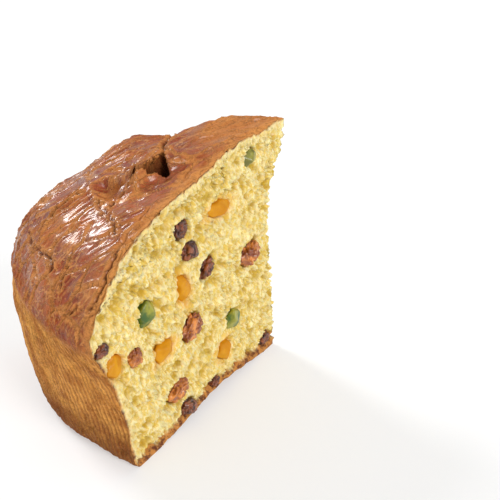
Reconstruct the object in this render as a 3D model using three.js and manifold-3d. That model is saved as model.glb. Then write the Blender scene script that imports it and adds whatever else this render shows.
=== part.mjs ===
// One sixth of a low panettone, cut as a wedge and standing on its baked base.
// Millimetres, +Z up. The crust faces -X and the edge where the two cuts meet is at +X.
// One cut faces -Y and the other +Y. The box is centred over the origin and rests on Z = 0.

import * as THREE from "three";
import { mergeVertices } from "three/addons/utils/BufferGeometryUtils.js";
import Module from "manifold-3d";

const wasm = await Module();
wasm.setup();

// The whole loaf.
const wedgeAngle = THREE.MathUtils.degToRad(60);
const halfWedge = wedgeAngle / 2;
const baseRadiusAtCut = 101;
const baseRadiusAtSide = 108;
const rimRadiusAtCut = 115.5;
const rimRadiusAtSide = 114;
const rimHeight = 61;
const domeRise = 49;
const footRounding = 3;

// How the wall and the dome leave those plain shapes, in millimetres.
const shoulderSwell = 2.5;
const crownHollow = 1.8;
const backHump = 4;
const shoulderDropAtBack = 0.36;
const tearDepth = 7;
const hollowDepth = 4;
const baseArch = 4.5;
const crumbRelief = 1.3;

// The edge where the two cuts meet bows in about the middle, and its tip overhangs. Both fade
// out over edgeReach along the cuts.
const edgeBow = 4;
const bowHeight = 64;
const bowSpread = 30;
const tipOverhang = 10;
const overhangFrom = 80;
const overhangTo = 106;
const edgeReach = 45;

// Grid of the loaf's faces.
const roundSteps = 32;
const cutSteps = 18;
const footRows = 2;
const wallRows = 8;
const domeRows = 24;
const weldDistance = 1e-3;

// Fruit sits in pockets this much larger than itself.
const pocketGap = 0.3;
const fruitColumns = 10;
const fruitRows = 6;

// Fruit in the two cuts. along is the distance from the edge where the cuts meet, up is the
// height, proud is how far the middle of the piece stands out of the cut (less than zero is in).
// size is along, up and through the cut, and turn is in degrees within the cut.
const frontFruit = [
  { name: "raisin_double_upper", along: 64, up: 86, size: [9, 9, 8], turn: 20, proud: -3 },
  { name: "raisin_double_lower", along: 60, up: 76, size: [10, 8, 8], turn: -30, proud: -2 },
  { name: "raisin_dark", along: 50, up: 64, size: [8, 11, 8], turn: -40, proud: -2 },
  { name: "raisin_round", along: 16, up: 57, size: [14, 11, 9], turn: 15, proud: -1 },
  { name: "raisin_glossy", along: 62, up: 43, size: [11, 13, 8], turn: -45, proud: -1 },
  { name: "raisin_small", along: 95, up: 48, size: [7, 8, 6], turn: 5, proud: -1 },
  { name: "raisin_low", along: 73, up: 19, size: [13, 9, 8], turn: 12, proud: -1 },
  { name: "raisin_foot", along: 67, up: 7, size: [11, 8, 7], turn: -35, proud: -1 },
  { name: "raisin_rim", along: 111, up: 60, size: [7, 5, 5], turn: 8, proud: -1.3 },
  { name: "raisin_burnt", along: 48, up: 8, size: [6, 5, 5], turn: 20, proud: -1 },
  { name: "raisin_corner", along: 6, up: 6, size: [9, 7, 5], turn: 20, proud: -2 },
  { name: "candied_orange_top", along: 40, up: 86, size: [14, 7, 7], turn: -8, proud: -2 },
  { name: "candied_orange_mid", along: 65, up: 62, size: [7, 12, 7], turn: 12, proud: -2.4 },
  { name: "candied_orange_left", along: 79, up: 42, size: [11, 8, 7], turn: 14, proud: -2 },
  { name: "candied_orange_low", along: 40, up: 20, size: [9, 10, 7], turn: 20, proud: -2 },
  { name: "candied_orange_wall", along: 105, up: 50, size: [9, 9, 6], turn: 0, proud: -2.8 },
  { name: "candied_citron_top", along: 21, up: 100, size: [9, 7, 7], turn: 25, proud: -2 },
  { name: "candied_citron_left", along: 87, up: 62, size: [8, 10, 7], turn: -22, proud: -2 },
  { name: "candied_citron_right", along: 33, up: 32, size: [9, 9, 7], turn: 12, proud: -1 },
];

const backFruit = [
  { name: "raisin_back_1", along: 84, up: 70, size: [10, 12, 8], turn: 30, proud: -1.6 },
  { name: "raisin_back_2", along: 34, up: 78, size: [12, 9.5, 8], turn: -20, proud: -1.4 },
  { name: "raisin_back_3", along: 70, up: 26, size: [13, 9, 8], turn: 12, proud: -1.4 },
  { name: "raisin_back_4", along: 27, up: 24, size: [9.5, 12, 8], turn: -15, proud: -1.6 },
  { name: "raisin_back_5", along: 96, up: 40, size: [10, 8, 7], turn: 40, proud: -1.5 },
  { name: "candied_orange_back_1", along: 54, up: 92, size: [9.5, 8.5, 7], turn: 10, proud: -1.8 },
  { name: "candied_orange_back_2", along: 47, up: 48, size: [10.5, 8.5, 7], turn: -25, proud: -1.7 },
  { name: "candied_orange_back_3", along: 88, up: 17, size: [8.5, 9.5, 7], turn: 15, proud: -1.8 },
  { name: "candied_citron_back_1", along: 68, up: 56, size: [8.5, 9.5, 7], turn: 20, proud: -1.6 },
  { name: "candied_citron_back_2", along: 22, up: 50, size: [9.5, 7.5, 6.5], turn: -10, proud: -1.5 },
];

const finishes = {
  loaf: { color: 0xc58a4a, roughness: 0.7, metalness: 0 },
  raisin: { color: 0x5a2c18, roughness: 0.35, metalness: 0 },
  candied_orange: { color: 0xeb9a2c, roughness: 0.25, metalness: 0 },
  candied_citron: { color: 0x6f9a2e, roughness: 0.25, metalness: 0 },
};

const smooth = (from, to, x) => {
  const t = THREE.MathUtils.clamp((x - from) / (to - from), 0, 1);
  return t * t * (3 - 2 * t);
};
const bell = (x, centre, width) => Math.exp(-(((x - centre) / width) ** 2));
const radians = THREE.MathUtils.degToRad;

// 0 at the front cut and 1 from the middle of the wedge on.
const sideShare = (angle) => smooth(halfWedge, radians(-8), angle);
// 0 up to the middle of the wedge and 1 at the back cut.
const backShare = (angle) => smooth(radians(-6), -halfWedge, angle);

function mix(from, to, share) {
  return from + (to - from) * share;
}

// Radius of the wall at an angle and a height.
function wallRadius(angle, height) {
  const share = height / rimHeight;
  const flared = 0.4 * share + 0.6 * share ** 3;
  const rounded = 1 - (1 - share) ** 2;
  const side = sideShare(angle);
  const foot = mix(baseRadiusAtCut, baseRadiusAtSide, side);
  const rim = mix(rimRadiusAtCut, rimRadiusAtSide, side);
  return mix(foot, rim, mix(flared, rounded, side));
}

// Radius and height on the dome, from the rim (share 0) to the crown (share 1).
function domePoint(angle, share) {
  const turn = (share * Math.PI) / 2;
  const power = 2 / (2 - shoulderDropAtBack * backShare(angle));
  const reach = Math.max(Math.cos(turn), 0) ** power;
  const front = smooth(radians(-5), radians(25), angle);
  const back = backShare(angle);
  const rim = mix(rimRadiusAtCut, rimRadiusAtSide, sideShare(angle));
  let lift = shoulderSwell * bell(reach, 0.82, 0.13) * front;
  lift -= crownHollow * bell(reach, 0.47, 0.16) * front;
  lift += backHump * back * (bell(reach, 0.2, 0.14) + 0.9 * bell(reach, 0.52, 0.12));
  lift -= backHump * 0.25 * back * bell(reach, 0.38, 0.05);
  lift *= smooth(0, 0.12, reach);
  const radius = rim * reach;
  return [radius, rimHeight + domeRise * Math.sin(turn) ** power + lift - dents(angle, radius)];
}

// The torn hole under the lifted flap, and the soft hollow beside it.
function dents(angle, radius) {
  const across = angle * radius;
  const tear = tearDepth * bell(across, radians(8) * 56, 5.5) * bell(radius, 56.5, 4.5);
  const hollow = hollowDepth * bell(across, radians(5) * 74, 9) * bell(radius, 74, 6);
  return tear + hollow;
}

// How far the edge where the cuts meet is set back at a height; less than zero overhangs.
function edgeSetBack(height) {
  const bow = edgeBow * bell(height, bowHeight, bowSpread);
  return bow - tipOverhang * smooth(overhangFrom, overhangTo, height);
}

// Place of a point given by its angle from the middle of the wedge, radius and height.
function place(angle, radius, height) {
  const back = edgeSetBack(height) * (1 - smooth(0, edgeReach, radius));
  return new THREE.Vector3(
    -radius * Math.cos(angle) - back * Math.cos(halfWedge),
    -radius * Math.sin(angle) - back * Math.sin(halfWedge),
    height,
  );
}

// Height on the edge where the cuts meet for each row up the outside.
function edgeRowHeights() {
  const plain = outline(0).slice(0, footRows + wallRows + 1).map(([, height]) => height);
  for (let i = 1; i <= domeRows; i += 1) {
    plain.push(rimHeight + domeRise * Math.sin(((i / domeRows) * Math.PI) / 2));
  }
  return plain;
}

// Radius and height of each row up the outside, from the foot to the crown.
function outline(angle) {
  const rows = [];
  for (let i = 0; i <= footRows; i += 1) {
    const turn = ((i / footRows) * Math.PI) / 2;
    const inset = footRounding * (1 - Math.sin(turn));
    rows.push([wallRadius(angle, 0) - inset, footRounding * (1 - Math.cos(turn))]);
  }
  for (let i = 1; i <= wallRows; i += 1) {
    const height = mix(footRounding, rimHeight, i / wallRows);
    rows.push([wallRadius(angle, height), height]);
  }
  for (let i = 1; i <= domeRows; i += 1) {
    rows.push(domePoint(angle, i / domeRows));
  }
  return rows;
}

// How far the crumb stands out of a cut at a distance along it and a height.
function relief(along, up) {
  const coarse = Math.sin(along * 0.31 + Math.sin(up * 0.23) * 1.7);
  const fine = Math.sin(along * 0.83 + 1.3) * Math.sin(up * 0.71 + along * 0.19);
  return crumbRelief * (0.45 * coarse * Math.cos(up * 0.29) + 0.4 * fine);
}

// How far the underside arches off the table beside the front cut.
function archHeight(angle, radius) {
  const within = smooth(0, 20, radius) * smooth(baseRadiusAtCut - footRounding, 75, radius);
  return baseArch * bell(radius, 45, 26) * within * smooth(radians(12), halfWedge, angle);
}

// Adds the two triangles of each cell of a grid of points.
function addGrid(triangles, grid, flip) {
  for (let i = 0; i < grid.length - 1; i += 1) {
    for (let j = 0; j < grid[i].length - 1; j += 1) {
      const [a, b] = [grid[i][j], grid[i + 1][j]];
      const [c, d] = [grid[i + 1][j + 1], grid[i][j + 1]];
      triangles.push(...(flip ? [a, c, b, a, d, c] : [a, b, c, a, c, d]));
    }
  }
}

// A closed geometry from a list of triangle corners. Corners that meet become one, and
// triangles left without any area by that are dropped.
function closedGeometry(corners) {
  const positions = new Float32Array(corners.length * 3);
  corners.forEach((corner, i) => corner.toArray(positions, i * 3));
  const loose = new THREE.BufferGeometry();
  loose.setAttribute("position", new THREE.BufferAttribute(positions, 3));
  const geometry = mergeVertices(loose, weldDistance);
  const index = Array.from(geometry.index.array);
  const kept = [];
  for (let i = 0; i < index.length; i += 3) {
    const [a, b, c] = index.slice(i, i + 3);
    if (a !== b && b !== c && c !== a) {
      kept.push(a, b, c);
    }
  }
  geometry.setIndex(kept);
  return geometry;
}

// One cut face: rows run from the edge where the cuts meet out to the crust.
function cutGrid(angle) {
  const outward = new THREE.Vector3(Math.sin(halfWedge), -Math.cos(halfWedge), 0);
  if (angle < 0) {
    outward.y *= -1;
  }
  const edge = edgeRowHeights();
  const top = edge.at(-1);
  return outline(angle).map(([reach, height], row) => {
    const points = [];
    for (let j = 0; j <= cutSteps; j += 1) {
      const share = j / cutSteps;
      const radius = reach * share;
      const up = mix(edge[row], height, share) + (row === 0 ? archHeight(angle, radius) : 0);
      const level = smooth(0, 0.12, share) * smooth(1, 0.93, share);
      const away = smooth(0, 8, up) * smooth(top, top - 12, up);
      const stands = relief(radius, up) * level * (row === 0 ? 0 : away);
      points.push(place(angle, radius, up).addScaledVector(outward, stands));
    }
    return points;
  });
}

// The loaf before its fruit pockets: crust outside, two cuts and the base.
function loafGeometry() {
  const corners = [];
  const skin = [];
  for (let i = 0; i <= roundSteps; i += 1) {
    const angle = mix(-halfWedge, halfWedge, i / roundSteps);
    skin.push(outline(angle).map(([radius, height]) => place(angle, radius, height)));
  }
  const base = [];
  for (let i = 0; i <= roundSteps; i += 1) {
    const angle = mix(-halfWedge, halfWedge, i / roundSteps);
    const reach = outline(angle)[0][0];
    const points = [];
    for (let j = 0; j <= cutSteps; j += 1) {
      const radius = (reach * j) / cutSteps;
      points.push(place(angle, radius, archHeight(angle, radius)));
    }
    base.push(points);
  }
  addGrid(corners, skin, false);
  addGrid(corners, cutGrid(halfWedge), false);
  addGrid(corners, cutGrid(-halfWedge), true);
  addGrid(corners, base, false);
  return closedGeometry(corners);
}

// A raisin is a wrinkled, slightly flattened ball.
function raisinRadius(around, up, seed) {
  const folds = 0.07 * Math.sin(4 * around + seed) + 0.05 * Math.sin(3 * up + 2 * around + seed);
  return 1 - 0.06 + folds;
}

// Candied peel is a cube with softened corners.
function peelRadius(direction) {
  const roundness = 5;
  const [x, y, z] = direction.toArray().map((value) => Math.abs(value) ** roundness);
  return (x + y + z) ** (-1 / roundness);
}

// One piece of fruit about its own middle. grow makes it larger all round.
function fruitGeometry(fruit, seed, grow) {
  const corners = [];
  const grid = [];
  const half = fruit.size.map((size) => size / 2);
  for (let i = 0; i <= fruitColumns; i += 1) {
    const around = ((i % fruitColumns) / fruitColumns) * Math.PI * 2;
    const points = [];
    for (let j = 0; j <= fruitRows; j += 1) {
      const up = mix(-Math.PI / 2, Math.PI / 2, j / fruitRows);
      const level = j === 0 || j === fruitRows ? 0 : Math.cos(up);
      const direction = new THREE.Vector3(
        level * Math.cos(around),
        Math.sin(up),
        level * Math.sin(around),
      );
      const raisin = fruit.name.startsWith("raisin");
      const bend = level === 0 ? 0 : around;
      const radius = raisin ? raisinRadius(bend, up, seed) : 0.86 * peelRadius(direction);
      const point = direction.clone().multiplyScalar(radius);
      point.set(point.x * half[0], point.y * half[1], point.z * half[2]);
      points.push(point.addScaledVector(direction, grow));
    }
    grid.push(points);
  }
  addGrid(corners, grid, true);
  return closedGeometry(corners);
}

// The turn and place of a fruit in its cut. front is true for the cut that faces -Y.
function fruitSeat(fruit, front) {
  const facing = front ? 1 : -1;
  const upright = new THREE.Vector3(0, 0, 1);
  const outward = new THREE.Vector3(Math.sin(halfWedge), -facing * Math.cos(halfWedge), 0);
  const across = new THREE.Vector3().crossVectors(upright, outward);
  const seat = new THREE.Matrix4().makeBasis(across, upright, outward);
  seat.multiply(new THREE.Matrix4().makeRotationZ(radians(fruit.turn)));
  const middle = place(facing * halfWedge, fruit.along, fruit.up);
  return seat.setPosition(middle.addScaledVector(outward, fruit.proud));
}

function toManifold(geometry) {
  return new wasm.Manifold(
    new wasm.Mesh({
      numProp: 3,
      vertProperties: new Float32Array(geometry.attributes.position.array),
      triVerts: new Uint32Array(geometry.index.array),
    }),
  );
}

function toGeometry(manifold) {
  const mesh = manifold.getMesh();
  const geometry = new THREE.BufferGeometry();
  geometry.setAttribute("position", new THREE.BufferAttribute(mesh.vertProperties, 3));
  geometry.setIndex(new THREE.BufferAttribute(mesh.triVerts, 1));
  return geometry;
}

function namedMesh(name, geometry) {
  const kind = Object.keys(finishes).find((key) => name.startsWith(key));
  geometry.computeVertexNormals();
  const mesh = new THREE.Mesh(geometry, new THREE.MeshStandardMaterial(finishes[kind]));
  mesh.name = name;
  return mesh;
}

// Sets every fruit in its cut and takes a pocket for it out of the loaf.
function panettoneWedge() {
  const slice = new THREE.Group();
  let loaf = toManifold(loafGeometry());
  const fruit = [
    ...frontFruit.map((piece) => ({ piece, front: true })),
    ...backFruit.map((piece) => ({ piece, front: false })),
  ];
  fruit.forEach(({ piece, front }, seed) => {
    const seat = fruitSeat(piece, front);
    const pocket = fruitGeometry(piece, seed, pocketGap).applyMatrix4(seat);
    loaf = loaf.subtract(toManifold(pocket));
    const mesh = namedMesh(piece.name, fruitGeometry(piece, seed, 0));
    mesh.applyMatrix4(seat);
    slice.add(mesh);
  });
  slice.add(namedMesh("loaf", toGeometry(loaf)));
  const box = new THREE.Box3().setFromObject(slice, true);
  const middle = box.getCenter(new THREE.Vector3());
  slice.position.set(-middle.x, -middle.y, -box.min.z);
  slice.updateMatrixWorld(true);
  return slice;
}

export default panettoneWedge();
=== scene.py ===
import itertools
import math

import bpy
import numpy as np
from mathutils import Matrix, Vector


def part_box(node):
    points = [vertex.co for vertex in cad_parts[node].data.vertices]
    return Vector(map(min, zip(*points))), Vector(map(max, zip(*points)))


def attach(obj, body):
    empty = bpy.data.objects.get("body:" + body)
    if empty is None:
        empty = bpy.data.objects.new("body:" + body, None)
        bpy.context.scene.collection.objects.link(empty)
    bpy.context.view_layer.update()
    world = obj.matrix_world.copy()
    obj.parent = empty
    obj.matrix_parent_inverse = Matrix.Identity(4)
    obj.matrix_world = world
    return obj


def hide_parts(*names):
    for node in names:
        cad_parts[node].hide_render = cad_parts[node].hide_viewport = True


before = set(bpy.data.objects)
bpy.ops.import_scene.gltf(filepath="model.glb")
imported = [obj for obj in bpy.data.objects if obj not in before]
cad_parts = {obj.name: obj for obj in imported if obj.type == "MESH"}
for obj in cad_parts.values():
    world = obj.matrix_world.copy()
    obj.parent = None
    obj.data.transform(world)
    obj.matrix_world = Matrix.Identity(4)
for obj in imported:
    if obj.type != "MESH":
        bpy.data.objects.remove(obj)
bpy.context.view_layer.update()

perMetre = 1000.0        # the shapes below are worked out in millimetres
print("frame loaded:", len(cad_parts), "nodes")


# small helpers for numbers on a grid

def smooth(start, end, x):
    # 0 before start and 1 after end, with an S curve between
    t = np.clip((x - start) / (end - start), 0.0, 1.0)
    return t * t * (3.0 - 2.0 * t)


def bell(x, centre, width):
    # exp(-((x - centre) / width) squared)
    return np.exp(-(((x - centre) / width) ** 2))


def mix(a, b, share):
    # a where share is 0, b where it is 1, and in proportion between
    return a + (b - a) * share


def steadyRandom(cell, seed):
    # whole numbers of a cell multiplied by large primes and folded over give a steady 0..1
    primes = (73856093, 19349663, 83492791)
    n = np.full(cell.shape[:-1], seed * 9781 + 1013, np.int64)
    for axis in range(cell.shape[-1]):
        n = n ^ (cell[..., axis].astype(np.int64) * primes[axis])
    n = ((n ^ (n >> 13)) * 1274126177) & 0x7FFFFFFF
    n = ((n ^ (n >> 15)) * 668265263) & 0x7FFFFFFF
    return ((n ^ (n >> 12)) & 0xFFFFF) / float(0x100000)


def waves(points, size, seed):
    # gradient noise, -1..1: each corner of a cell of that size has a slope, blended by S curves
    q = points / size
    low = np.floor(q)
    f = q - low
    s = f * f * f * (f * (f * 6.0 - 15.0) + 10.0)
    total = np.zeros(q.shape[:-1])
    for corner in itertools.product((0, 1), repeat=q.shape[-1]):
        corner = np.array(corner)
        slope = np.stack([steadyRandom(low + corner, seed + 17 * k) * 2.0 - 1.0
                          for k in range(q.shape[-1])], -1)
        weight = np.prod(np.where(corner == 1, s, 1.0 - s), -1)
        total += weight * np.sum(slope * (f - corner), -1)
    return total * 1.6      # which swings close to -1..1


def drift(points, size, seed, ways):
    # that many separate waves side by side, to push points about
    return np.stack([waves(points, size, seed + k) for k in range(ways)], -1)


def layered(points, size, seed, layers=4, fall=0.5):
    # waves at size, size/2, size/4 ... each weaker by fall
    total, strength = 0.0, 1.0
    for k in range(layers):
        total = total + strength * waves(points, size / 2.0 ** k, seed + 31 * k)
        strength *= fall
    return total


def bubbles(points, size, seed):
    # one point scattered in each cell: how far the nearest is, how much further the next
    # one is, and the nearest one's own random number
    q = points / size
    low = np.floor(q)
    near = np.full(q.shape[:-1], 9.0)
    far = np.full(q.shape[:-1], 9.0)
    own = np.zeros(q.shape[:-1])
    for step in itertools.product((-1, 0, 1), repeat=q.shape[-1]):
        cell = low + np.array(step)
        spot = cell + np.stack([steadyRandom(cell, seed + 13 * k)
                                for k in range(q.shape[-1])], -1)
        d = np.sqrt(np.sum((spot - q) ** 2, -1))
        closer = d < near
        far = np.where(closer, near, np.minimum(far, d))
        own = np.where(closer, steadyRandom(cell, seed + 101), own)
        near = np.where(closer, d, near)
    return near, far - near, own


# the plain shape of the wedge, by the solid part's formulas, with the skin's own shoulder and hump

wedge = {
    "halfAngle": 30.0,          # degrees either side of the middle
    "footAtCut": 101.0,         # radius at the foot beside the front cut
    "footAtSide": 108.0,
    "rimAtCut": 115.5,
    "rimAtSide": 114.0,
    "rimHeight": 61.0,          # top of the wall
    "domeRise": 49.0,
    "footRounding": 3.0,
    "footShare": 0.03,          # how far up the outline the foot's rounding ends
    "rimShare": 0.42,           # and where the rim is
    "shoulderSwell": 0.5,       # less than the solid's: the skin has sunk a little here
    "crownHollow": 1.8,
    "backHump": 4.0,
    "outerHump": 1.25,          # its outer half, where the skin puffs up beyond the solid
    "humpDip": 0.25,            # the dip between its halves
    "shoulderDropAtBack": 0.36,
    # where each of these lies, as a share of the rim's radius, and how wide it is
    "swellAt": (0.82, 0.13),
    "hollowAt": (0.47, 0.16),
    "innerHumpAt": (0.2, 0.14),
    "outerHumpAt": (0.52, 0.12),
    "dipAt": (0.38, 0.05),
    # degrees round the wedge between which the side, the back and the front shapes blend in
    "sideBlend": -8.0,
    "backBlend": -6.0,
    "frontBlend": (-5.0, 25.0),
    "baseArch": 4.5,            # the underside arches off the table beside the front cut
    "archAt": (45.0, 26.0),     # where, and how wide, in mm from the edge where the cuts meet
    "archFade": (20.0, 75.0),
    "archBlend": 12.0,
    "edgeBow": 4.0,             # the edge where the cuts meet bows in about the middle
    "bowHeight": 64.0,
    "bowSpread": 30.0,
    "tipOverhang": 10.0,        # and its tip overhangs
    "overhangFrom": 80.0,
    "overhangTo": 106.0,
    "edgeReach": 45.0,          # how far along the cuts both are felt
}
half = math.radians(wedge["halfAngle"])
frontOut = np.array([math.sin(half), -math.cos(half), 0.0])      # out of the front cut
backOut = np.array([math.sin(half), math.cos(half), 0.0])


def sideShare(angle):
    # 0 at the front cut and 1 from the middle of the wedge on
    return smooth(half, math.radians(wedge["sideBlend"]), angle)


def backShare(angle):
    # 0 up to the middle of the wedge and 1 at the back cut
    return smooth(math.radians(wedge["backBlend"]), -half, angle)


def rimRadius(angle):
    # the rim at the cut blended into the rim at the side
    return mix(wedge["rimAtCut"], wedge["rimAtSide"], sideShare(angle))


def wallRadius(angle, height):
    # foot radius to rim radius: flaring late beside the cut, rounding early at the side
    share = height / wedge["rimHeight"]
    side = sideShare(angle)
    foot = mix(wedge["footAtCut"], wedge["footAtSide"], side)
    flare = mix(0.4 * share + 0.6 * share ** 3, 1 - (1 - share) ** 2, side)
    return mix(foot, rimRadius(angle), flare)


def outline(angle, share):
    # radius and height: a quarter round at the foot, the wall, then a quarter ellipse with bumps
    angle, share = np.broadcast_arrays(np.asarray(angle, float), np.asarray(share, float))
    footTurn = np.clip(share / wedge["footShare"], 0, 1) * math.pi / 2
    footR = wallRadius(angle, 0.0) - wedge["footRounding"] * (1 - np.sin(footTurn))
    footZ = wedge["footRounding"] * (1 - np.cos(footTurn))
    up = np.clip((share - wedge["footShare"]) / (wedge["rimShare"] - wedge["footShare"]), 0, 1)
    wallZ = mix(wedge["footRounding"], wedge["rimHeight"], up)
    turn = np.clip((share - wedge["rimShare"]) / (1 - wedge["rimShare"]), 0, 1) * math.pi / 2
    back = backShare(angle)
    front = smooth(*(math.radians(a) for a in wedge["frontBlend"]), angle)
    power = 2 / (2 - wedge["shoulderDropAtBack"] * back)
    reach = np.clip(np.cos(turn), 0, 1) ** power
    lift = wedge["shoulderSwell"] * bell(reach, *wedge["swellAt"]) * front
    lift = lift - wedge["crownHollow"] * bell(reach, *wedge["hollowAt"]) * front
    humps = bell(reach, *wedge["innerHumpAt"])
    humps = humps + wedge["outerHump"] * bell(reach, *wedge["outerHumpAt"])
    lift = lift + wedge["backHump"] * back * humps
    lift = lift - wedge["backHump"] * wedge["humpDip"] * back * bell(reach, *wedge["dipAt"])
    lift = lift * smooth(0, 0.12, reach)
    domeR = rimRadius(angle) * reach
    domeZ = wedge["rimHeight"] + wedge["domeRise"] * np.sin(turn) ** power + lift
    low, wall = share < wedge["footShare"], share < wedge["rimShare"]
    radius = np.where(low, footR, np.where(wall, wallRadius(angle, wallZ), domeR))
    height = np.where(low, footZ, np.where(wall, wallZ, domeZ))
    return radius, height


def edgeSetBack(height):
    # how far the edge where the cuts meet is set back: a bell, less an S curve at the tip
    bow = wedge["edgeBow"] * bell(height, wedge["bowHeight"], wedge["bowSpread"])
    return bow - wedge["tipOverhang"] * smooth(wedge["overhangFrom"], wedge["overhangTo"], height)


def place(angle, radius, height):
    # polar to x, y, z; towards the edge where the cuts meet, points lean with it
    angle, radius, height = np.broadcast_arrays(angle, radius, height)
    lean = edgeSetBack(height) * (1 - smooth(0, wedge["edgeReach"], radius))
    x = -radius * np.cos(angle) - lean * math.cos(half)
    y = -radius * np.sin(angle) - lean * math.sin(half)
    return np.stack([x, y, height + 0.0 * x], -1)


# where the wedge's own axis stands in the frame: its rim reaches the solid's lowest x and y
loafLow = np.array(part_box("loaf")[0]) * perMetre
shift = loafLow - np.array([-rimRadius(0.0), -wedge["rimAtCut"] * math.sin(half), 0.0])
shift[2] = 0.0


def archHeight(angle, radius):
    # a bell along the radius, brought to 0 at both ends and away from the front cut
    inner, outer = wedge["archFade"]
    within = smooth(0, inner, radius)
    within = within * smooth(wedge["footAtCut"] - wedge["footRounding"], outer, radius)
    beside = smooth(math.radians(wedge["archBlend"]), half, angle)
    return wedge["baseArch"] * bell(radius, *wedge["archAt"]) * within * beside


# the baked skin: wrinkles, cracks and the torn flap

skin = {
    "outlineLength": 230.0,     # from the foot up to the tip
    "paleEdge": 0.55,           # how pale it is towards the tip and along the front cut
    "rimSink": 2.6,             # it draws in just over the rim, away from the front cut
    "rimLine": 0.7,             # how far the dome's skin stands over the wall
    "lumps": 1.0,
    "lumpSize": 26.0,
    "plateAcross": 8.0,         # the glossy skin is puckered into plates, longer up the dome
    "plateAlong": 24.0,
    "crease": 0.85,             # depth of the creases between plates
    "creaseLip": 0.5,
    "wrinkles": 0.6,
    "wrinkleWidth": 3.2,
    "fineWrinkles": 0.22,
    "fineWidth": 1.5,
    "wrinkleStretch": 0.2,      # how much narrower than long the wrinkles are
    "grain": 0.1,
    "grainSize": 1.2,
    "ribsPerDegree": 0.83,      # ribs that the paper mould leaves on the wall
    "ribDepth": 0.28,
    "wallGrain": 0.35,
    "wallPits": 0.8,            # torn pits near the foot
    "wallLumps": 0.5,
    "besideBand": 6.0,          # width of the matt band beside the front cut
    # main cracks: depth, half width and raised lip in mm, then degrees round and percent up
    "cracks": [
        (2.2, 0.6, 0.9, [(1, 60), (-1, 65), (0, 70)]),
        (2.2, 0.6, 0.5, [(11, 76), (13, 73), (14, 71)]),
        (2.6, 0.8, 0.3, [(9, 84), (-8, 84), (-30, 83)]),
        (1.3, 0.6, 0.5, [(-3, 58), (0, 57), (5, 57), (10, 58), (14, 57), (14, 55)]),
        (1.4, 0.5, 0.4, [(25, 52), (24, 50)]),
        (1.6, 0.6, 0.5, [(28, 65), (28, 61), (29, 57), (28, 53)]),
        (0.6, 0.6, 0.8, [(8, 71), (12, 70), (17, 70), (21, 69), (24, 67)]),
        (0.9, 0.5, 0.5, [(-14, 62), (-13, 67), (-15, 73)]),
        (0.8, 0.5, 0.4, [(16, 62), (18, 58), (19, 54)]),
    ],
    # the torn hole's corners, as degrees round and percent up; the flap hangs on its first side
    "tear": [(11, 76), (9, 84), (17, 81)],
    "tearDepth": 7.0,
    "flapLift": 6.5,
    "flapWidth": 9.0,
    "flapFolds": 2.6,           # spacing of the folds in the flap
    "foldHeight": 1.1,
    "flapReach": 4.2,           # how far it leans out over the hole
    # sunken patch below the tear: degrees round, percent up, depth, half width and half length
    "hollow": (7, 74, 4.2, 8.5, 5.0),
}


def skinFlow(angle, share):
    # the crust laid flat: mm round it on the wall, mm sideways on the dome, and mm up its outline
    angle, share = np.broadcast_arrays(angle, share)
    turned = mix(angle, np.sin(angle), smooth(wedge["rimShare"], wedge["rimShare"] + 0.15, share))
    return np.stack([turned * outline(angle, share)[0], share * skin["outlineLength"]], -1)


def distanceToLine(points, corners):
    # least distance from each point to a chain of straight pieces
    best = np.full(points.shape[:-1], 1e9)
    for a, b in zip(corners[:-1], corners[1:]):
        run = b - a
        t = np.clip(np.sum((points - a) * run, -1) / np.sum(run * run), 0, 1)
        best = np.minimum(best, np.linalg.norm(points - a - t[..., None] * run, axis=-1))
    return best


def skinSpot(degrees, percent):
    # a place on the plain skin, from degrees round the wedge and percent up its outline
    angle = math.radians(degrees)
    return place(angle, *outline(angle, percent / 100))


def mapSpot(degrees, percent):
    # a place on the skin laid flat: mm round the loaf, and mm from its middle
    angle = math.radians(degrees)
    radius = float(outline(angle, percent / 100)[0])
    return np.array([angle * radius, radius])


def outsideTear(spots):
    # signed distance to the torn hole: the largest distance beyond any of its sides
    corners = np.array([mapSpot(*corner) for corner in skin["tear"]])
    best = np.full(spots.shape[:-1], -1e9)
    for a, b in zip(corners, np.roll(corners, -1, 0)):
        out = np.array([b[1] - a[1], a[0] - b[0]]) / np.linalg.norm(b - a)
        out = out * -np.sign((corners.mean(0) - a) @ out)
        best = np.maximum(best, (spots - a) @ out)
    return best, distanceToLine(spots, corners[:2])


def glossyRelief(flat, plain):
    # the dome: slow lumps, plates with a groove and a lip round each, and two widths of wrinkles,
    # each 1 where a wave is 0 and falling away on both sides
    patchy = smooth(-0.3, 0.25, waves(plain, 18.0, 25))
    plates = flat / np.array([skin["plateAcross"], skin["plateAlong"]])
    _, edge, own = bubbles(plates, 1.0, 21)
    shown = smooth(0.15, 0.6, own + 0.35 * patchy)
    height = layered(plain, skin["lumpSize"], 11, 3) * skin["lumps"]
    height = height + skin["creaseLip"] * bell(edge, 0.17, 0.09) * shown
    height = height - skin["crease"] * bell(edge, 0.0, 0.08) * shown
    long = flat * np.array([1.0, skin["wrinkleStretch"]])
    wide = 1 - 2.4 * np.abs(waves(long, skin["wrinkleWidth"], 22))
    fine = 1 - 2.4 * np.abs(waves(long, skin["fineWidth"], 23))
    wrinkles = skin["wrinkles"] * wide + skin["fineWrinkles"] * fine
    height = height + wrinkles * mix(0.35, 1.0, patchy)
    height = height + skin["grain"] * waves(plain, skin["grainSize"], 28)
    tan = bell(edge, 0.06, 0.1) * shown + 0.5 * smooth(0.7, 1.0, wide) * patchy
    return height, np.clip(tan, 0, 1)


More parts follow.
